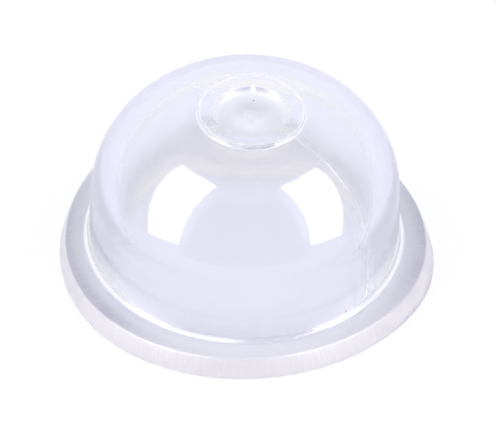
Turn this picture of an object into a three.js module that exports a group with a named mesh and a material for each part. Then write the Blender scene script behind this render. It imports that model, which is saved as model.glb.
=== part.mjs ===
import * as THREE from 'three';
import { mergeVertices } from 'three/addons/utils/BufferGeometryUtils.js';

// Primer bulb for a small engine's carburettor, in millimetres with +Z up.
// It is one soft clear moulding: a thumb-sized dome, open underneath, with a flat flange that a
// retainer clamps. The underside of the flange is the plane z = 0 and the dome stands on the Z axis.

// Dome
const domeDiameter = 18.1;
const domeHeight = 10.85;
const wallDraft = THREE.MathUtils.degToRad(2.4);
const shoulderRadius = 6.05;
const crownRadius = 40;
const wallThickness = 1.5;
const footFillet = 0.35;
const mouthRound = 0.3;

// Flange: flat on both sides, so that the retainer can press it on its seat, with a sloping rim
const flangeDiameter = 22;
const flangeThickness = 1.42;
const rimSlope = 0.45;
const rimTopRound = 0.16;
const rimFootRound = 0.3;

// Gate pad on the crown: a low ring whose land falls towards a shallow well, where the plastic came
// into the mould. The pad's height is taken at its edge.
const padDiameter = 6.1;
const padHeight = 0.24;
const padEdgeRound = 0.12;
const padFootFillet = 0.2;
const landFall = 0.16;
const wellDiameter = 4.4;
const wellDepth = 0.34;
const wellDraft = THREE.MathUtils.degToRad(38);
const wellFillet = 0.45;
const gateDiameter = 1.2;
const gateHeight = 0.1;

// The soft moulding has set a little out of true: its rim is oval and three-lobed, and the dome leans
// towards +X. Each is an amplitude, with the direction of the rim's crests as seen from above.
const rimOval = 0.1;
const rimOvalTowards = THREE.MathUtils.degToRad(-80);
const rimLobing = 0.17;
const rimLobingTowards = THREE.MathUtils.degToRad(-14);
const domeLean = 0.26;

// Facets
const chordError = 0.012;
const turnSegments = 72;

const domeRadius = domeDiameter / 2;
const flangeRadius = flangeDiameter / 2;
const padRadius = padDiameter / 2;
const wellRadius = wellDiameter / 2;
const gateRadius = gateDiameter / 2;
const crownCentre = new THREE.Vector2(0, domeHeight - crownRadius);

// Adds an arc to an outline; angles are measured from the outward direction towards +Z.
function addArc(outline, centre, radius, from, to) {
  const step = 2 * Math.acos(1 - Math.min(chordError / radius, 0.5));
  const count = Math.max(2, Math.ceil(Math.abs(to - from) / step));
  for (let i = 0; i <= count; i += 1) {
    const angle = THREE.MathUtils.lerp(from, to, i / count);
    outline.push(new THREE.Vector2(radius * Math.cos(angle), radius * Math.sin(angle)).add(centre));
  }
}

// Adds the corner between two straight runs, rounded as far as the shorter run allows.
function addRoundedCorner(outline, before, corner, after, radius) {
  const back = before.clone().sub(corner);
  const ahead = after.clone().sub(corner);
  const shorter = Math.min(back.length(), ahead.length());
  back.normalize();
  ahead.normalize();
  const halfAngle = Math.acos(THREE.MathUtils.clamp(back.dot(ahead), -1, 1)) / 2;
  const reach = Math.min(radius / Math.tan(halfAngle), shorter / 2);
  const fitted = reach * Math.tan(halfAngle);
  const middle = back.clone().add(ahead).normalize().multiplyScalar(fitted / Math.sin(halfAngle));
  const centre = corner.clone().add(middle);
  const from = corner.clone().addScaledVector(back, reach).sub(centre).angle();
  const to = corner.clone().addScaledVector(ahead, reach).sub(centre).angle();
  const turn = Math.atan2(Math.sin(to - from), Math.cos(to - from));
  addArc(outline, centre, fitted, from, from + turn);
}

// The shoulder is tangent to the drafted wall and to the crown, so its centre lies on a line parallel
// to the wall, at the difference of the two radii from the crown's centre.
function shoulderCentre() {
  const slope = Math.tan(wallDraft);
  const reach = domeRadius - shoulderRadius / Math.cos(wallDraft) + flangeThickness * slope;
  const a = 1 + slope ** 2;
  const b = reach * slope + crownCentre.y;
  const c = reach ** 2 + crownCentre.y ** 2 - (crownRadius - shoulderRadius) ** 2;
  const z = (b + Math.sqrt(b ** 2 - a * c)) / a;
  return new THREE.Vector2(reach - slope * z, z);
}

// Gate scar, well and land, from the axis outwards to the foot of the pad. Returns the direction, seen
// from the crown's centre, in which the pad's foot fillet runs out on the crown.
function addGatePad(outline) {
  const landZ = crownCentre.y + Math.sqrt(crownRadius ** 2 - padRadius ** 2) + padHeight;
  const mouthZ = landZ - landFall;
  const floorZ = mouthZ - wellDepth;
  const floorRadius = wellRadius - wellDepth * Math.tan(wellDraft);
  const scarTop = new THREE.Vector2(0, floorZ + gateHeight);
  const scarEdge = new THREE.Vector2(gateRadius - gateHeight, floorZ + gateHeight);
  const scarFoot = new THREE.Vector2(gateRadius, floorZ);
  const floorCorner = new THREE.Vector2(floorRadius, floorZ);
  const wellMouth = new THREE.Vector2(wellRadius, mouthZ);
  const landEdge = new THREE.Vector2(padRadius, landZ);
  const padFoot = new THREE.Vector2(padRadius, landZ - padHeight);
  outline.push(scarTop);
  addRoundedCorner(outline, scarTop, scarEdge, scarFoot, gateHeight);
  outline.push(scarFoot);
  addRoundedCorner(outline, scarFoot, floorCorner, wellMouth, wellFillet);
  addRoundedCorner(outline, floorCorner, wellMouth, landEdge, padEdgeRound);
  addRoundedCorner(outline, wellMouth, landEdge, padFoot, padEdgeRound);
  const filletR = padRadius + padFootFillet;
  const filletZ = crownCentre.y + Math.sqrt((crownRadius + padFootFillet) ** 2 - filletR ** 2);
  const runOut = Math.atan2(filletZ - crownCentre.y, filletR);
  addArc(outline, new THREE.Vector2(filletR, filletZ), padFootFillet, Math.PI, Math.PI + runOut);
  return runOut;
}

// Crown and shoulder, one inside the other: the hollow follows the outside one wall thickness further in.
function domeArcs(inset, crownStart) {
  const arcs = [];
  const shoulder = shoulderCentre();
  const meeting = shoulder.clone().sub(crownCentre).angle();
  addArc(arcs, crownCentre, crownRadius - inset, crownStart, meeting);
  addArc(arcs, shoulder, shoulderRadius - inset, meeting, wallDraft);
  return arcs;
}

function addFlange(outline, wallTop) {
  const wallFoot = new THREE.Vector2(domeRadius, flangeThickness);
  const rimTop = new THREE.Vector2(flangeRadius - rimSlope, flangeThickness);
  const rimFoot = new THREE.Vector2(flangeRadius, 0);
  const mouth = new THREE.Vector2(mouthRadius(), 0);
  addRoundedCorner(outline, wallTop, wallFoot, rimTop, footFillet);
  addRoundedCorner(outline, wallFoot, rimTop, rimFoot, rimTopRound);
  addRoundedCorner(outline, rimTop, rimFoot, mouth, rimFootRound);
}

// Radius of the hollow where its drafted wall reaches the underside
function mouthRadius() {
  return domeRadius + flangeThickness * Math.tan(wallDraft) - wallThickness / Math.cos(wallDraft);
}

function bulbOutline() {
  const outline = [];
  const runOut = addGatePad(outline);
  const outside = domeArcs(0, runOut);
  outline.push(...outside);
  addFlange(outline, outside.at(-1));
  const inside = domeArcs(wallThickness, Math.PI / 2).reverse();
  const mouth = new THREE.Vector2(mouthRadius(), 0);
  const rimFoot = new THREE.Vector2(flangeRadius, 0);
  addRoundedCorner(outline, rimFoot, mouth, inside[0], mouthRound);
  outline.push(...inside);
  outline.at(-1).x = 0;
  return outline.reverse();
}

// Moves the rim in and out of round and shears the dome above the flange.
function setOutOfTrue(position) {
  const flangeRoot = domeRadius + footFillet;
  for (let i = 0; i < position.count; i += 1) {
    const x = position.getX(i);
    const y = position.getY(i);
    const z = position.getZ(i);
    const radius = Math.hypot(x, y);
    const angle = Math.atan2(y, x);
    const oval = rimOval * Math.cos(2 * (angle - rimOvalTowards));
    const lobes = rimLobing * Math.cos(3 * (angle - rimLobingTowards));
    const share = THREE.MathUtils.smoothstep(radius, flangeRoot, flangeRadius - rimSlope);
    const stretch = radius > 0 ? 1 + (share * (oval + lobes)) / radius : 1;
    const rise = Math.max(0, z - flangeThickness) / (domeHeight - flangeThickness);
    position.setXY(i, x * stretch + domeLean * rise, y * stretch);
  }
}

function bulbGeometry() {
  const turned = new THREE.LatheGeometry(bulbOutline(), turnSegments);
  turned.deleteAttribute('normal');
  turned.deleteAttribute('uv');
  turned.rotateX(Math.PI / 2);
  const geometry = mergeVertices(turned, 1e-4);
  setOutOfTrue(geometry.attributes.position);
  geometry.computeVertexNormals();
  return geometry;
}

const clearPlastic = new THREE.MeshStandardMaterial({
  color: 0xe3e5f3,
  roughness: 0.14,
  metalness: 0,
  transparent: true,
  opacity: 0.4,
});

const bulb = new THREE.Mesh(bulbGeometry(), clearPlastic);
bulb.name = 'primer_bulb';

const part = new THREE.Group();
part.add(bulb);

export default part;
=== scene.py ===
import math

import bmesh
import bpy
from mathutils import Matrix, Vector


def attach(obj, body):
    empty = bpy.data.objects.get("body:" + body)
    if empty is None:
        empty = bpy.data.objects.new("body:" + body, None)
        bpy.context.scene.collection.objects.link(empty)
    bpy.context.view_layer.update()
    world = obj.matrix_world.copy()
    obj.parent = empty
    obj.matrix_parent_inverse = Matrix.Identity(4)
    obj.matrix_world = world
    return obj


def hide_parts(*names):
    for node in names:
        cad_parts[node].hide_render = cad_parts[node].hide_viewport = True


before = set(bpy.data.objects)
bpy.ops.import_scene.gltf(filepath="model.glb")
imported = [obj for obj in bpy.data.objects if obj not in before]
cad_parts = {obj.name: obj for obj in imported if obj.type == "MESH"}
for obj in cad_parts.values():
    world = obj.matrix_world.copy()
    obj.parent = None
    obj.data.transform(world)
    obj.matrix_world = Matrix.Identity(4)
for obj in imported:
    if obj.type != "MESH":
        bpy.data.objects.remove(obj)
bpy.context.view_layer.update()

MM = 0.001

# Camera
# A long lens looks down on the bulb from the front, rolled a little, as the photograph was taken. The aim
# is a point on the bulb's axis, moved sideways and down in the picture to frame the whole flange.
CAMERA_ELEVATION = math.radians(42.5)
CAMERA_ROLL = math.radians(1.5)
CAMERA_DISTANCE = 320 * MM
AIM_HEIGHT = 5 * MM
AIM_RIGHT = 0.17 * MM
AIM_DOWN = 1.51 * MM
PICTURE_WIDTH = 496
PIXELS_PER_MM = 17.35
VIEW_WIDTH = PICTURE_WIDTH / PIXELS_PER_MM * MM
SENSOR_WIDTH = 36
NEAREST_SEEN = 1 * MM

camera_data = bpy.data.cameras.new("camera")
camera_data.sensor_width = SENSOR_WIDTH
camera_data.lens = SENSOR_WIDTH * CAMERA_DISTANCE / VIEW_WIDTH
camera_data.clip_start = NEAREST_SEEN
camera = bpy.data.objects.new("camera", camera_data)
camera_tilt = Matrix.Rotation(math.pi / 2 - CAMERA_ELEVATION, 4, "X")
camera_turn = camera_tilt @ Matrix.Rotation(CAMERA_ROLL, 4, "Z")
camera_aim = Vector((0, 0, AIM_HEIGHT)) + camera_turn @ Vector((AIM_RIGHT, -AIM_DOWN, 0))
camera_place = camera_aim + camera_turn @ Vector((0, 0, CAMERA_DISTANCE))
camera.matrix_world = Matrix.Translation(camera_place) @ camera_turn
bpy.context.collection.objects.link(camera)
bpy.context.scene.camera = camera
bpy.context.scene.view_settings.view_transform = "Standard"
# Light runs along inside a clear wall, from face to face, for many more bounces than usual.
bpy.context.scene.cycles.max_bounces = 24
bpy.context.scene.cycles.glossy_bounces = 16
bpy.context.scene.cycles.transmission_bounces = 24

# Table
# A plain white laminate table top, which carries the bulb's shadow. It lies a hair below the flange, so
# that the air film under a moulding that only rests there is kept. It ends a short way in front of the
# bulb, and the glossy dome mirrors that edge.
TABLE_SIDE = 4
AIR_FILM = 0.02 * MM
TABLE_WHITE = "#F1F2FF"
TABLE_DULL = 0.6
TABLE_LIFT = 0.48
TABLE_BLEACH = 0.85
TABLE_GLOW = 1.03
TABLE_FRONT = 0.075


def linear(hex_colour):
    channels = [int(hex_colour[i : i + 2], 16) / 255 for i in (1, 3, 5)]
    return [c / 12.92 if c <= 0.04045 else ((c + 0.055) / 1.055) ** 2.4 for c in channels] + [1]


def add_node(tree, kind, settings=None, **values):
    """Adds a shader node with its settings; each value or output socket goes to the input of that name."""
    node = tree.nodes.new("ShaderNode" + kind)
    for name, value in (settings or {}).items():
        setattr(node, name, value)
    for name, value in values.items():
        socket = node.inputs[int(name[1:])] if name[1:].isdigit() else node.inputs[name.replace("_", " ")]
        if isinstance(value, bpy.types.NodeSocket):
            tree.links.new(value, socket)
        else:
            socket.default_value = value
    return node


def new_material(name):
    material = bpy.data.materials.new(name)
    material.use_nodes = True
    material.node_tree.nodes.clear()
    return material, material.node_tree


def white_laminate():
    """Table laminate: an even white with a soft, dull gloss. The camera sees it bleached almost to paper
    white, and the clear plastic shows it part of the way there."""
    material, tree = new_material("white_laminate")
    surface = add_node(tree, "BsdfPrincipled", Base_Color=linear(TABLE_WHITE), Roughness=TABLE_DULL)
    path = add_node(tree, "LightPath").outputs
    colours = {"_6": linear(TABLE_WHITE), "_7": (1, 1, 1, 1)}
    colour = add_node(tree, "Mix", {"data_type": "RGBA"}, _0=path["Is Camera Ray"], **colours).outputs[2]
    white = add_node(tree, "Emission", Color=colour, Strength=TABLE_GLOW).outputs[0]
    clear = {"_0": path["Is Glossy Ray"], "_1": path["Is Transmission Ray"]}
    clear = add_node(tree, "Math", {"operation": "MAXIMUM"}, **clear).outputs[0]
    direct = add_node(tree, "Math", {"operation": "LESS_THAN"}, _0=path["Diffuse Depth"], _1=0.5).outputs[0]
    clear = add_node(tree, "Math", {"operation": "MULTIPLY"}, _0=clear, _1=direct).outputs[0]
    clear = add_node(tree, "Math", {"operation": "MULTIPLY"}, _0=clear, _1=TABLE_LIFT).outputs[0]
    bare = {"_0": path["Is Camera Ray"], "_1": TABLE_BLEACH}
    bare = add_node(tree, "Math", {"operation": "MULTIPLY"}, **bare).outputs[0]
    lift = add_node(tree, "Math", {"operation": "MAXIMUM"}, _0=clear, _1=bare).outputs[0]
    shown = add_node(tree, "MixShader", _0=lift, _1=surface.outputs[0], _2=white)
    add_node(tree, "OutputMaterial", Surface=shown.outputs[0])
    return material


table_form = bmesh.new()
bmesh.ops.create_grid(table_form, x_segments=1, y_segments=1, size=TABLE_SIDE / 2)
bmesh.ops.translate(table_form, verts=table_form.verts, vec=(0, TABLE_SIDE / 2 - TABLE_FRONT, -AIR_FILM))
table_mesh = bpy.data.meshes.new("table")
table_form.to_mesh(table_mesh)
table_form.free()
table = bpy.data.objects.new("table", table_mesh)
table_mesh.materials.append(white_laminate())
bpy.context.collection.objects.link(table)

# Studio
# Two tall soft boxes stand to the left and right, leaning back over the table, and leave a dim gap
# towards the camera. Beyond is a white room, as bright as a sheet of white paper where it is seen.
BOX_SIDE = math.radians(69.5)
BOX_ELEVATION = math.radians(36)
BOX_LEAN = math.radians(20)
BOX_DISTANCE = 0.6
BOX_WIDTH = 0.32
BOX_HEIGHT = 0.84
BOX_LIGHT = 2.6
BOX_GLARE = 7
ROOM_FILL = 0.57
ROOM_COLOUR = "#F4F5FF"
GAP_HALF_WIDTH = math.radians(40)
GAP_SIDE_FADE = 0.1
GAP_TOP = math.radians(62)
GAP_TOP_FADE = 0.06
GAP_COLOUR = "#666678"
SOFT_EDGE = {"interpolation_type": "SMOOTHSTEP"}


def glare(strength):
    """Soft box fabric as a gloss mirrors it: the bright core of a cloth that glows."""
    material, tree = new_material("soft_box_fabric")
    surface = add_node(tree, "Emission", Color=(1, 1, 1, 1), Strength=strength)
    add_node(tree, "OutputMaterial", Surface=surface.outputs[0])
    return material


def soft_box(name, side):
    """Adds a soft box: the lamp lights the scene, and its face is what the glossy plastic mirrors."""
    around = Matrix.Rotation(side * BOX_SIDE, 4, "Z")
    raised = Matrix.Rotation(math.pi / 2 - BOX_ELEVATION, 4, "X")
    lean = Matrix.Rotation(-side * BOX_LEAN, 4, "Z")
    place = around @ raised @ lean @ Matrix.Translation((0, 0, BOX_DISTANCE))
    lamp = bpy.data.lights.new(name, "AREA")
    lamp.shape = "RECTANGLE"
    lamp.size = BOX_WIDTH
    lamp.size_y = BOX_HEIGHT
    lamp.energy = BOX_LIGHT * math.pi * BOX_WIDTH * BOX_HEIGHT
    box = bpy.data.objects.new(name, lamp)
    box.matrix_world = place
    box.visible_glossy = False
    bpy.context.collection.objects.link(box)
    form = bmesh.new()
    bmesh.ops.create_grid(form, x_segments=1, y_segments=1, size=0.5)
    bmesh.ops.scale(form, verts=form.verts, vec=(BOX_WIDTH, BOX_HEIGHT, 1))
    bmesh.ops.transform(form, verts=form.verts, matrix=place)
    mesh = bpy.data.meshes.new(name + "_face")
    form.to_mesh(mesh)
    form.free()
    mesh.materials.append(glare(BOX_GLARE))
    face = bpy.data.objects.new(name + "_face", mesh)
    for ray in ("camera", "diffuse", "transmission", "shadow", "volume_scatter"):
        setattr(face, "visible_" + ray, False)
    bpy.context.collection.objects.link(face)


soft_box("left_soft_box", -1)
soft_box("right_soft_box", 1)

world = bpy.data.worlds.new("white_room")
bpy.context.scene.world = world
world.use_nodes = True
room = world.node_tree
room.nodes.clear()
path = add_node(room, "LightPath").outputs
seen = {"_0": path["Is Camera Ray"], "_1": path["Is Glossy Ray"]}
seen = add_node(room, "Math", {"operation": "MAXIMUM"}, **seen).outputs[0]
seen = add_node(room, "Math", {"operation": "MAXIMUM"}, _0=seen, _1=path["Is Transmission Ray"]).outputs[0]
direct = add_node(room, "Math", {"operation": "LESS_THAN"}, _0=path["Diffuse Depth"], _1=0.5).outputs[0]
seen = add_node(room, "Math", {"operation": "MULTIPLY"}, _0=seen, _1=direct).outputs[0]
way = add_node(room, "TexCoord").outputs["Generated"]
way = add_node(room, "SeparateXYZ", Vector=way).outputs
forward = add_node(room, "Math", {"operation": "MULTIPLY"}, _0=way["Y"], _1=-1.0).outputs[0]
aside = add_node(room, "Math", {"operation": "ARCTAN2"}, _0=way["X"], _1=forward).outputs[0]
aside = add_node(room, "Math", {"operation": "ABSOLUTE"}, _0=aside).outputs[0]
edge = {"From_Min": GAP_HALF_WIDTH + GAP_SIDE_FADE, "From_Max": GAP_HALF_WIDTH}
sides = add_node(room, "MapRange", SOFT_EDGE, Value=aside, **edge).outputs[0]
edge = {"From_Min": math.sin(GAP_TOP) + GAP_TOP_FADE, "From_Max": math.sin(GAP_TOP)}
below = add_node(room, "MapRange", SOFT_EDGE, Value=way["Z"], **edge).outputs[0]
gap = add_node(room, "Math", {"operation": "MULTIPLY"}, _0=sides, _1=below).outputs[0]
mirrored = add_node(room, "Math", {"operation": "SUBTRACT"}, _0=1.0, _1=path["Is Camera Ray"]).outputs[0]
gap = add_node(room, "Math", {"operation": "MULTIPLY"}, _0=gap, _1=mirrored).outputs[0]
colours = {"_6": (1, 1, 1, 1), "_7": linear(GAP_COLOUR)}
sight = add_node(room, "Mix", {"data_type": "RGBA"}, _0=gap, **colours).outputs[2]
fill = add_node(room, "Background", Color=linear(ROOM_COLOUR), Strength=ROOM_FILL).outputs[0]
white = add_node(room, "Background", Color=sight, Strength=1).outputs[0]
shown = add_node(room, "MixShader", _0=seen, _1=fill, _2=white)
add_node(room, "OutputWorld", Surface=shown.outputs[0])

# Primer bulb
# One soft clear polyurethane moulding: a dome open underneath, a flange, and the gate pad on its crown.
# The dome came off a polished mould and is glossy; the flange and the gate's well came off a dull one.
DOME_RADIUS = 9.05 * MM
DOME_HEIGHT = 10.85 * MM
WALL_DRAFT = math.radians(2.4)
SHOULDER_RADIUS = 6.05 * MM
CROWN_RADIUS = 40 * MM
WALL = 1.5 * MM
FOOT_FILLET = 0.35 * MM
MOUTH_ROUND = 0.3 * MM
FLANGE_RADIUS = 11 * MM
FLANGE_THICKNESS = 1.42 * MM
RIM_SLOPE = 0.45 * MM
RIM_TOP_ROUND = 0.16 * MM
RIM_FOOT_ROUND = 0.3 * MM
PAD_RADIUS = 3.05 * MM
PAD_HEIGHT = 0.24 * MM
LAND_FALL = 0.16 * MM
PAD_EDGE_ROUND = 0.16 * MM
PAD_FOOT_FILLET = 0.2 * MM
WELL_RADIUS = 2.2 * MM
WELL_DEPTH = 0.34 * MM
WELL_DRAFT = math.radians(38)
WELL_FILLET = 0.45 * MM
GATE_RADIUS = 0.6 * MM
GATE_HEIGHT = 0.1 * MM
RIM_OVAL = 0.1 * MM
RIM_OVAL_TOWARDS = math.radians(-80)
RIM_LOBING = 0.17 * MM
RIM_LOBING_TOWARDS = math.radians(-14)
DOME_LEAN = 0.26 * MM
SEAM_TOWARDS = math.radians(-37.5)
SEAM_WIDTH = 0.07 * MM
SEAM_HEIGHT = 0.005 * MM
FLASH_TOWARDS = math.radians(-15)
FLASH_HALF_WIDTH = math.radians(32)
FLASH_HEIGHT = 0.75 * MM
FLASH_REACH = 0.2 * MM
FLASH_TAPER = 3
TURN_STEPS = 240
CUT_CLOSENESS = 0.0005 * MM
SEAM_CLOSENESS = 0.001 * MM
MERGE_CLOSENESS = 0.0001 * MM
HEART_HEIGHT = 4 * MM
CORE_FACING = -0.5 * MM

# Where one finish, painted highlight or painted shade gives way to the next
FLANGE_SATIN = 9.4 * MM
FADE = 0.1 * MM
LIP_LINE = 0.01 * MM
FOOT_LINE = 0.04 * MM
FLASH_CLEAR = 0.45 * FLASH_HEIGHT
WELL_FADE = 0.05 * MM
CROWN_SKIN = DOME_HEIGHT - WALL + 0.3 * MM
FILLET_LINE = DOME_RADIUS + 0.4 * FOOT_FILLET
FILLET_FULL = 0.05 * MM
FILLET_FADE = 0.16 * MM
FILLET_TOP = FLANGE_THICKNESS + 0.25 * MM
FILLET_END = FLANGE_THICKNESS + 0.4 * MM
SEAM_FULL = 0.3 * SEAM_WIDTH
SEAM_FADE = 0.6 * SEAM_WIDTH
PAD_EDGE_FULL = 0.06 * MM
PAD_EDGE_FADE = 0.2 * MM
SHADE_START = 9.6 * MM
SHADE_FULL = 10.35 * MM

# Painted shade lies on the flange's flanks, left and right of this front, and painted light on the
# front itself; painted highlights are dim at the front. The shares are cosines of the turn away from it,
# or from the middle of the flash: 1 is there and -1 is opposite.
FRONT_TOWARDS = math.radians(-75)
FLANK_START = 0.85
FLANK_FULL = 0.45
FLANK_FADE = -0.3
FLANK_END = -0.75
SHINE_START = 0.99
SHINE_FULL = 0.93
FLASH_FULL = 0.98

# How dull each finish is, how much white frost lies on it, and how strong the painted highlights and painted
# light are
DOME_DULL = 0.02
CORE_DULL = 0.2
FLANGE_DULL = 0.28
WELL_DULL = 0.35
RIM_DULL = 0.45
RIM_FROST = 0.88
SCUFF_FROST = 0.5
FOOT_FROST = 0.35
WELL_FROST = 0.15
SEAM_FROST = 0.3
PAD_EDGE_HIGHLIGHT = 0.5
FRONT_SHINE = 0.1
FLANK_SHINE = 0.8
FRONT_PAINTED_LIGHT = 0.22
FLANK_PAINTED_LIGHT = 0.04

# Scuffs, the patches they lie in and the grain, as noise: a size, and the shares of it that count
SCUFF_WIDTH = 0.16 * MM
SCUFF_LENGTH = 1.1 * MM
SCUFF_START = 0.42
SCUFF_FULL = 0.66
HATCH_START = 0.35
HATCH_FULL = 0.6
HATCH_LEAST = 0.6
CLOUD_SIZE = 1.6 * MM
PATCH_START = 0.35
PATCH_FULL = 0.65
PATCH_LEAST = 0.3
GRAIN_SIZE = 0.12 * MM
GRAIN_DEPTH = 0.02 * MM
DOME_RELIEF = 0.01
SATIN_RELIEF = 0.25

FROST_COLOUR = "#E3DFE0"
PAINTED_SHADE_COLOUR = "#DBDBE3"
DEPTH_COLOUR = "#DFDEF1"
DEPTH_DENSITY = 42
POLYURETHANE_IOR = 1.5

# Dark specks of dust in the surface, and white nicks in the rim and the torn nub of the gate: each is
# its place on the bulb and its radius, in millimetres.
SPECK_COLOUR = "#4A4658"
SPECKS = [
    (-9.06, 1.2, 4.1, 0.045),
    (-8.49, -1.2, 6.43, 0.05),
    (-8.07, -3.33, 5.9, 0.04),
    (7.97, -1.9, 7.73, 0.04),
    (5.95, -6.8, 1.83, 0.06),
    (0.36, 1.37, 10.47, 0.045),
]
NICKS = [
    (-6.91, -8.26, 1.19, 0.12),
    (10.47, -3.26, 0.79, 0.14),
    (0.31, 2.1, 10.72, 0.16),
    (0.42, 1.95, 10.6, 0.07),
    (0.47, 1.75, 10.48, 0.05),
    (0.49, 1.5, 10.48, 0.04),
    (0.45, 1.11, 10.47, 0.06),
]


def draw_to(form, start, radius, height):
    """Draws a straight run of the outline, in the plane through the axis."""
    end = form.verts.new((radius, 0, height))
    form.edges.new((start, end))
    return end


def swing(form, start, centre, angle, steps):
    """Draws an arc of the outline by swinging its last point about a centre."""
    arc = bmesh.ops.spin(
        form,
        geom=[start],
        cent=(centre[0], 0, centre[1]),
        axis=(0, 1, 0),
        angle=angle,
        steps=steps,
        use_duplicate=False,
    )
    return arc["geom_last"][0]


def round_corner(form, corner, radius, steps):
    """Rounds a corner of the outline: the cut starts where the arc is tangent to both runs."""
    sides = [(edge.other_vert(corner).co - corner.co).normalized() for edge in corner.link_edges]
    reach = radius / math.tan(sides[0].angle(sides[1]) / 2)
    bmesh.ops.bevel(
        form,
        geom=[corner],
        offset=reach,
        offset_type="OFFSET",
        affect="VERTICES",
        segments=steps,
        profile=0.5,
        material=-1,
    )


def bulb_outline(form):
    """The section: out over the gate pad, down the dome, round the flange, and back up the hollow."""
    slope = math.tan(WALL_DRAFT)
    crown_centre = DOME_HEIGHT - CROWN_RADIUS
    reach = DOME_RADIUS - SHOULDER_RADIUS / math.cos(WALL_DRAFT) + FLANGE_THICKNESS * slope
    a = 1 + slope**2
    b = reach * slope + crown_centre
    c = reach**2 + crown_centre**2 - (CROWN_RADIUS - SHOULDER_RADIUS) ** 2
    shoulder_z = (b + math.sqrt(b**2 - a * c)) / a
    shoulder = (reach - slope * shoulder_z, shoulder_z)
    meeting = math.atan2(shoulder_z - crown_centre, shoulder[0])

    land = crown_centre + math.sqrt(CROWN_RADIUS**2 - PAD_RADIUS**2) + PAD_HEIGHT
    mouth_z = land - LAND_FALL
    floor = mouth_z - WELL_DEPTH
    gate_top = form.verts.new((0, 0, floor + GATE_HEIGHT))
    gate_edge = draw_to(form, gate_top, GATE_RADIUS - GATE_HEIGHT, floor + GATE_HEIGHT)
    gate_foot = draw_to(form, gate_edge, GATE_RADIUS, floor)
    floor_corner = draw_to(form, gate_foot, WELL_RADIUS - WELL_DEPTH * math.tan(WELL_DRAFT), floor)
    well_mouth = draw_to(form, floor_corner, WELL_RADIUS, mouth_z)
    land_edge = draw_to(form, well_mouth, PAD_RADIUS, land)
    fillet_r = PAD_RADIUS + PAD_FOOT_FILLET
    fillet_z = crown_centre + math.sqrt((CROWN_RADIUS + PAD_FOOT_FILLET) ** 2 - fillet_r**2)
    run_out = math.atan2(fillet_z - crown_centre, fillet_r)
    pen = draw_to(form, land_edge, PAD_RADIUS, fillet_z)
    pen = swing(form, pen, (fillet_r, fillet_z), -run_out, steps=6)
    pen = swing(form, pen, (0, crown_centre), run_out - meeting, steps=14)
    pen = swing(form, pen, shoulder, meeting - WALL_DRAFT, steps=28)

    wall_foot = draw_to(form, pen, DOME_RADIUS, FLANGE_THICKNESS)
    rim_top = draw_to(form, wall_foot, FLANGE_RADIUS - RIM_SLOPE, FLANGE_THICKNESS)
    rim_foot = draw_to(form, rim_top, FLANGE_RADIUS, 0)
    mouth_radius = DOME_RADIUS + FLANGE_THICKNESS * slope - WALL / math.cos(WALL_DRAFT)
    mouth = draw_to(form, rim_foot, mouth_radius, 0)
    inner_shoulder = SHOULDER_RADIUS - WALL
    wall_top_radius = shoulder[0] + inner_shoulder * math.cos(WALL_DRAFT)
    wall_top = shoulder[1] + inner_shoulder * math.sin(WALL_DRAFT)
    pen = draw_to(form, mouth, wall_top_radius, wall_top)
    pen = swing(form, pen, shoulder, WALL_DRAFT - meeting, steps=28)
    swing(form, pen, (0, crown_centre), meeting - math.pi / 2, steps=16)

    round_corner(form, gate_edge, GATE_HEIGHT, steps=4)
    round_corner(form, floor_corner, WELL_FILLET, steps=6)
    round_corner(form, well_mouth, PAD_EDGE_ROUND, steps=6)
    round_corner(form, land_edge, PAD_EDGE_ROUND, steps=8)
    round_corner(form, wall_foot, FOOT_FILLET, steps=8)
    round_corner(form, rim_top, RIM_TOP_ROUND, steps=6)
    round_corner(form, rim_foot, RIM_FOOT_ROUND, steps=8)
    round_corner(form, mouth, MOUTH_ROUND, steps=8)


def set_out_of_true(form):
    """The soft moulding has set oval and three-lobed at its rim, and its dome bends over towards +X."""
    root = DOME_RADIUS + FOOT_FILLET
    rim = FLANGE_RADIUS - RIM_SLOPE
    for vert in form.verts:
        radius = math.hypot(vert.co.x, vert.co.y)
        angle = math.atan2(vert.co.y, vert.co.x)
        oval = RIM_OVAL * math.cos(2 * (angle - RIM_OVAL_TOWARDS))
        lobes = RIM_LOBING * math.cos(3 * (angle - RIM_LOBING_TOWARDS))
        share = min(max((radius - root) / (rim - root), 0), 1)
        share = share**2 * (3 - 2 * share)
        if radius > 0:
            vert.co.xy *= 1 + share * (oval + lobes) / radius
        rise = max(0, vert.co.z - FLANGE_THICKNESS) / (DOME_HEIGHT - FLANGE_THICKNESS)
        vert.co.x += DOME_LEAN * rise**2


def raise_seam(form):
    """The halves of the mould met in a plane through the axis and left a fine ridge all over the outside."""
    across = Vector((-math.sin(SEAM_TOWARDS), math.cos(SEAM_TOWARDS), 0))
    for offset in (-SEAM_WIDTH / 2, 0, SEAM_WIDTH / 2):
        bmesh.ops.bisect_plane(
            form,
            geom=form.verts[:] + form.edges[:] + form.faces[:],
            dist=CUT_CLOSENESS,
            plane_co=across * offset,
            plane_no=across,
        )
    form.normal_update()
    heart = Vector((0, 0, HEART_HEIGHT))
    for vert in form.verts:
        outside = vert.normal.dot(vert.co - heart) > 0 and vert.co.z > RIM_FOOT_ROUND
        if outside and abs(vert.co.dot(across)) < SEAM_CLOSENESS:
            vert.co += vert.normal * SEAM_HEIGHT


def mark_core_side(form):
    """Marks the hollow, which the mould's core shaped: its surface faces the middle of the mouth."""
    form.normal_update()
    core_side = form.verts.layers.float.new("core_side")
    for vert in form.verts:
        vert[core_side] = float(vert.normal.dot(vert.co) < CORE_FACING)


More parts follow.
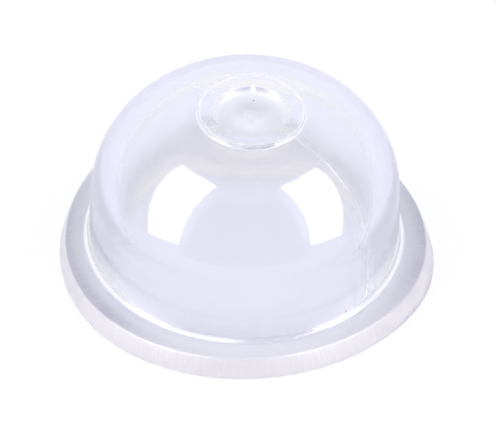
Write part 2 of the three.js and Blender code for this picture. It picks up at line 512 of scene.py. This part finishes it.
def spread_flash(form):
    """The mould did not quite close at the right of the rim, and a low skirt of flash ran out there."""
    for vert in form.verts:
        radius = math.hypot(vert.co.x, vert.co.y)
        off = abs(math.atan2(vert.co.y, vert.co.x) - FLASH_TOWARDS) / FLASH_HALF_WIDTH
        low = 1 - vert.co.z / FLASH_HEIGHT
        if radius > FLANGE_RADIUS - RIM_SLOPE and off < 1 and low > 0:
            reach = FLASH_REACH * math.cos(off * math.pi / 2) ** 2 * min(low * FLASH_TAPER, 1)
            vert.co.xy *= 1 + reach / radius


def marks(tree, place, spots):
    """A mask that is 1 on each of the given spots."""
    mask = 0.0
    for x, y, z, radius in spots:
        middle = (x * MM, y * MM, z * MM)
        away = add_node(tree, "VectorMath", {"operation": "DISTANCE"}, _0=place, _1=middle).outputs["Value"]
        spot = add_node(tree, "Math", {"operation": "LESS_THAN"}, _0=away, _1=radius * MM).outputs[0]
        mask = add_node(tree, "Math", {"operation": "MAXIMUM"}, _0=spot, _1=mask).outputs[0]
    return mask


def line(tree, value, middle, fade, full):
    """A mask that is 1 within one distance of a line on the bulb and fades out at a greater one."""
    off = add_node(tree, "Math", {"operation": "SUBTRACT"}, _0=value, _1=middle).outputs[0]
    off = add_node(tree, "Math", {"operation": "ABSOLUTE"}, _0=off).outputs[0]
    return add_node(tree, "MapRange", SOFT_EDGE, Value=off, From_Min=fade, From_Max=full).outputs[0]


def overlap(tree, mask, *others):
    """A mask that holds only where all the given ones do."""
    for other in others:
        mask = add_node(tree, "Math", {"operation": "MULTIPLY"}, _0=mask, _1=other).outputs[0]
    return mask


def towards(tree, turn, direction):
    """The cosine of the turn away from a direction, which needs no care where the turn starts again."""
    away = add_node(tree, "Math", {"operation": "SUBTRACT"}, _0=turn, _1=direction).outputs[0]
    return add_node(tree, "Math", {"operation": "COSINE"}, _0=away).outputs[0]


def trimming_scuffs(tree, turn, across, height):
    """Scuffs up the rim and out along the flange: noise that is fine around the axis and coarse along it."""
    fan = add_node(tree, "CombineXYZ", X=turn, Y=across, Z=height).outputs[0]
    spread = (FLANGE_RADIUS / SCUFF_WIDTH, 1 / SCUFF_LENGTH, 1 / SCUFF_LENGTH)
    fan = add_node(tree, "VectorMath", {"operation": "MULTIPLY"}, _0=fan, _1=spread).outputs[0]
    return add_node(tree, "TexNoise", Vector=fan, Scale=1, Detail=2, Roughness=0.6).outputs["Fac"]


def frosted_rim(tree, turn, height, flange):
    """The frost below the lip, which thins out at the foot and, where the flash is, higher up."""
    edge = {"From_Min": FLANGE_THICKNESS - LIP_LINE, "From_Max": FLANGE_THICKNESS - FADE}
    slope = add_node(tree, "MapRange", SOFT_EDGE, Value=height, **edge).outputs[0]
    edge = {"From_Min": math.cos(FLASH_HALF_WIDTH), "From_Max": FLASH_FULL, "To_Max": FLASH_CLEAR}
    flash = towards(tree, turn, FLASH_TOWARDS)
    flash = add_node(tree, "MapRange", SOFT_EDGE, Value=flash, **edge).outputs[0]
    edge = {"From_Min": FOOT_LINE, "From_Max": RIM_FOOT_ROUND, "To_Min": FOOT_FROST}
    foot = add_node(tree, "Math", {"operation": "SUBTRACT"}, _0=height, _1=flash).outputs[0]
    foot = add_node(tree, "MapRange", SOFT_EDGE, Value=foot, **edge).outputs[0]
    return overlap(tree, slope, flange, foot)


def shaded_flanks(tree, front):
    """The two flanks of the flange, left and right of its front, where painted shade lies."""
    start = add_node(tree, "MapRange", SOFT_EDGE, Value=front, From_Min=FLANK_START, From_Max=FLANK_FULL)
    end = add_node(tree, "MapRange", SOFT_EDGE, Value=front, From_Min=FLANK_END, From_Max=FLANK_FADE)
    return overlap(tree, start.outputs[0], end.outputs[0])


def painted_shade_by_lip(tree, across, top, flank, scuffs):
    """Painted shade: grey bands on the flange next to its lip, hatched by the scuff noise."""
    edge = {"From_Min": SHADE_START, "From_Max": SHADE_FULL}
    outer = add_node(tree, "MapRange", SOFT_EDGE, Value=across, **edge).outputs[0]
    edge = {"From_Min": HATCH_START, "From_Max": HATCH_FULL, "To_Min": HATCH_LEAST}
    hatched = add_node(tree, "MapRange", SOFT_EDGE, Value=scuffs, **edge).outputs[0]
    return overlap(tree, outer, top, flank, hatched)


def shining_fillet(tree, across, height, top, shine):
    """A painted highlight: a bright white line along the fillet at the dome's foot, dim at the very front.
    """
    fillet = line(tree, across, FILLET_LINE, FILLET_FADE, FILLET_FULL)
    edge = {"From_Min": FILLET_END, "From_Max": FILLET_TOP}
    low = add_node(tree, "MapRange", SOFT_EDGE, Value=height, **edge).outputs[0]
    return overlap(tree, fillet, low, top, shine)


def frosted_seam(tree, place, core):
    """The ridge of the seam, which is a little white, on the outside only."""
    across = (-math.sin(SEAM_TOWARDS), math.cos(SEAM_TOWARDS), 0)
    off = add_node(tree, "VectorMath", {"operation": "DOT_PRODUCT"}, _0=place, _1=across).outputs["Value"]
    ridge = line(tree, off, 0.0, SEAM_FADE, SEAM_FULL)
    shell = add_node(tree, "Math", {"operation": "SUBTRACT"}, _0=1.0, _1=core).outputs[0]
    return overlap(tree, ridge, SEAM_FROST, shell)


def patchy_scuffs(tree, place, scuffs):
    """The scuffs as they lie on the rim, in patches."""
    edge = {"From_Min": SCUFF_START, "From_Max": SCUFF_FULL}
    scuffed = add_node(tree, "MapRange", SOFT_EDGE, Value=scuffs, **edge).outputs[0]
    cloud = add_node(tree, "TexNoise", Vector=place, Scale=1 / CLOUD_SIZE, Detail=2, Roughness=0.5)
    edge = {"From_Min": PATCH_START, "From_Max": PATCH_FULL, "To_Min": PATCH_LEAST}
    patchy = add_node(tree, "MapRange", SOFT_EDGE, Value=cloud.outputs["Fac"], **edge).outputs[0]
    return overlap(tree, scuffed, patchy)


def grainy_relief(tree, place, scuffs, flange, well):
    """The grain of the blasted mould with the scuffs over it: deep on satin, almost none on the dome."""
    grain = add_node(tree, "TexNoise", Vector=place, Scale=1 / GRAIN_SIZE, Detail=2, Roughness=0.6)
    relief = overlap(tree, scuffs, flange)
    relief = add_node(tree, "Math", {"operation": "ADD"}, _0=relief, _1=grain.outputs["Fac"]).outputs[0]
    matt = add_node(tree, "Math", {"operation": "MAXIMUM"}, _0=flange, _1=well).outputs[0]
    strength = add_node(tree, "MapRange", Value=matt, To_Min=DOME_RELIEF, To_Max=SATIN_RELIEF).outputs[0]
    return add_node(tree, "Bump", Height=relief, Strength=strength, Distance=GRAIN_DEPTH).outputs[0]


def clear_polyurethane():
    """Clear cast polyurethane: bright and colourless in thin walls, lavender where light runs along them.
    The dome is glossy outside and faintly satin in its hollow, where the mould's core was only ground.
    The flange is satin from a blasted mould, with painted shade in grey bands by the lip on its flanks and
    painted light whitening its front, and the rim, the seam and the gate's well are frosted, with the fine
    radial scuffs of trimming and a few dark specks of dust. Painted highlights lie white along the fillet at
    the dome's foot and round the edge of the gate pad."""
    material, tree = new_material("clear_polyurethane")
    place = add_node(tree, "TexCoord").outputs["Object"]
    parts = add_node(tree, "SeparateXYZ", Vector=place).outputs
    height = parts["Z"]
    flat = add_node(tree, "CombineXYZ", X=parts["X"], Y=parts["Y"]).outputs[0]
    across = add_node(tree, "VectorMath", {"operation": "LENGTH"}, _0=flat).outputs["Value"]
    turn = add_node(tree, "Math", {"operation": "ARCTAN2"}, _0=parts["Y"], _1=parts["X"]).outputs[0]
    gate = (DOME_LEAN, 0, 0)
    to_gate = add_node(tree, "VectorMath", {"operation": "DISTANCE"}, _0=flat, _1=gate).outputs["Value"]
    core = add_node(tree, "Attribute", {"attribute_name": "core_side"}).outputs["Fac"]

    # The parts of the surface, as masks
    edge = {"From_Min": FLANGE_SATIN - FADE, "From_Max": FLANGE_SATIN}
    flange = add_node(tree, "MapRange", SOFT_EDGE, Value=across, **edge).outputs[0]
    edge = {"From_Min": FLANGE_THICKNESS - FADE, "From_Max": FLANGE_THICKNESS - LIP_LINE}
    top = add_node(tree, "MapRange", SOFT_EDGE, Value=height, **edge).outputs[0]
    rim = frosted_rim(tree, turn, height, flange)
    crown = add_node(tree, "Math", {"operation": "GREATER_THAN"}, _0=height, _1=CROWN_SKIN).outputs[0]
    edge = {"From_Min": WELL_RADIUS + WELL_FADE, "From_Max": WELL_RADIUS - FADE}
    well = add_node(tree, "MapRange", SOFT_EDGE, Value=to_gate, **edge).outputs[0]
    well = overlap(tree, well, crown)
    front = towards(tree, turn, FRONT_TOWARDS)
    # The flanks, where painted shade lies and the painted light is faint.
    flank = shaded_flanks(tree, front)
    scuffs = trimming_scuffs(tree, turn, across, height)

    rough = add_node(tree, "MapRange", Value=flange, To_Min=DOME_DULL, To_Max=FLANGE_DULL).outputs[0]
    for part, dull in ((core, CORE_DULL), (rim, RIM_DULL), (well, WELL_DULL)):
        rough = add_node(tree, "MapRange", Value=part, _3=rough, _4=dull).outputs[0]

    # Frost, and the painted highlights and painted light that go in as white with it, lie only on the
    # outside: inside the plastic, light meets the clear surface.
    scuffed = patchy_scuffs(tree, place, scuffs)
    bare = add_node(tree, "MapRange", Value=scuffed, To_Min=RIM_FROST, To_Max=SCUFF_FROST).outputs[0]
    frost_and_painted_light = overlap(tree, rim, bare)
    frost_and_painted_light = add_node(tree, "MapRange", Value=well, _3=frost_and_painted_light, _4=WELL_FROST).outputs[0]
    # Painted highlights: faint at the very front, strong elsewhere.
    edge = {"From_Min": SHINE_START, "From_Max": SHINE_FULL, "To_Min": FRONT_SHINE, "To_Max": FLANK_SHINE}
    shine = add_node(tree, "MapRange", SOFT_EDGE, Value=front, **edge).outputs[0]
    # Painted highlight: white round the edge of the gate pad, dim at the front.
    pad_edge = line(tree, to_gate, PAD_RADIUS, PAD_EDGE_FADE, PAD_EDGE_FULL)
    # Painted light: the flange top whiter at its front than on its flanks.
    painted_light = add_node(tree, "MapRange", Value=flank, To_Min=FRONT_PAINTED_LIGHT, To_Max=FLANK_PAINTED_LIGHT).outputs[0]
    # Painted highlights on the fillet and the pad's edge and painted light on the flange's front join the
    # seam and the nicks as white.
    for white in (
        shining_fillet(tree, across, height, top, shine),
        overlap(tree, painted_light, flange, top),
        frosted_seam(tree, place, core),
        overlap(tree, pad_edge, crown, shine, PAD_EDGE_HIGHLIGHT),
        marks(tree, place, NICKS),
    ):
        frost_and_painted_light = add_node(tree, "Math", {"operation": "MAXIMUM"}, _0=frost_and_painted_light, _1=white).outputs[0]
    inside = add_node(tree, "NewGeometry").outputs["Backfacing"]
    outside = add_node(tree, "Math", {"operation": "SUBTRACT"}, _0=1.0, _1=inside).outputs[0]
    frost_and_painted_light = overlap(tree, frost_and_painted_light, outside)
    speck = marks(tree, place, SPECKS)
    opaque = add_node(tree, "Math", {"operation": "MAXIMUM"}, _0=frost_and_painted_light, _1=speck).outputs[0]
    clear = add_node(tree, "Math", {"operation": "SUBTRACT"}, _0=1.0, _1=opaque).outputs[0]

    tint = (1, 1, 1, 1)
    # Painted shade: grey bands next to the lip on the flange's flanks.
    painted_shade = painted_shade_by_lip(tree, across, top, flank, scuffs)
    for part, colour in ((rim, FROST_COLOUR), (painted_shade, PAINTED_SHADE_COLOUR), (speck, SPECK_COLOUR)):
        tint = add_node(tree, "Mix", {"data_type": "RGBA"}, _0=part, _6=tint, _7=linear(colour)).outputs[2]
    surface = add_node(
        tree,
        "BsdfPrincipled",
        Base_Color=tint,
        Roughness=rough,
        IOR=POLYURETHANE_IOR,
        Transmission_Weight=clear,
        Normal=grainy_relief(tree, place, scuffs, flange, well),
    )
    depth = add_node(tree, "VolumeAbsorption", Color=linear(DEPTH_COLOUR), Density=DEPTH_DENSITY)
    add_node(tree, "OutputMaterial", Surface=surface.outputs[0], Volume=depth.outputs[0])
    return material


bulb_form = bmesh.new()
bulb_outline(bulb_form)
bmesh.ops.spin(
    bulb_form,
    geom=bulb_form.verts[:] + bulb_form.edges[:],
    cent=(0, 0, 0),
    axis=(0, 0, 1),
    angle=2 * math.pi,
    steps=TURN_STEPS,
    use_merge=True,
)
bmesh.ops.remove_doubles(bulb_form, verts=bulb_form.verts, dist=MERGE_CLOSENESS)
bmesh.ops.recalc_face_normals(bulb_form, faces=bulb_form.faces)
raise_seam(bulb_form)
mark_core_side(bulb_form)
set_out_of_true(bulb_form)
spread_flash(bulb_form)
for face in bulb_form.faces:
    face.smooth = True
bulb_mesh = bpy.data.meshes.new("primer_bulb_moulding")
bulb_form.to_mesh(bulb_mesh)
bulb_form.free()
bulb_mesh.materials.append(clear_polyurethane())
bulb = bpy.data.objects.new("primer_bulb_moulding", bulb_mesh)
bpy.context.collection.objects.link(bulb)
even = bulb.modifiers.new("even_shading", "WEIGHTED_NORMAL")
even.keep_sharp = False
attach(bulb, "root")
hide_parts("primer_bulb")
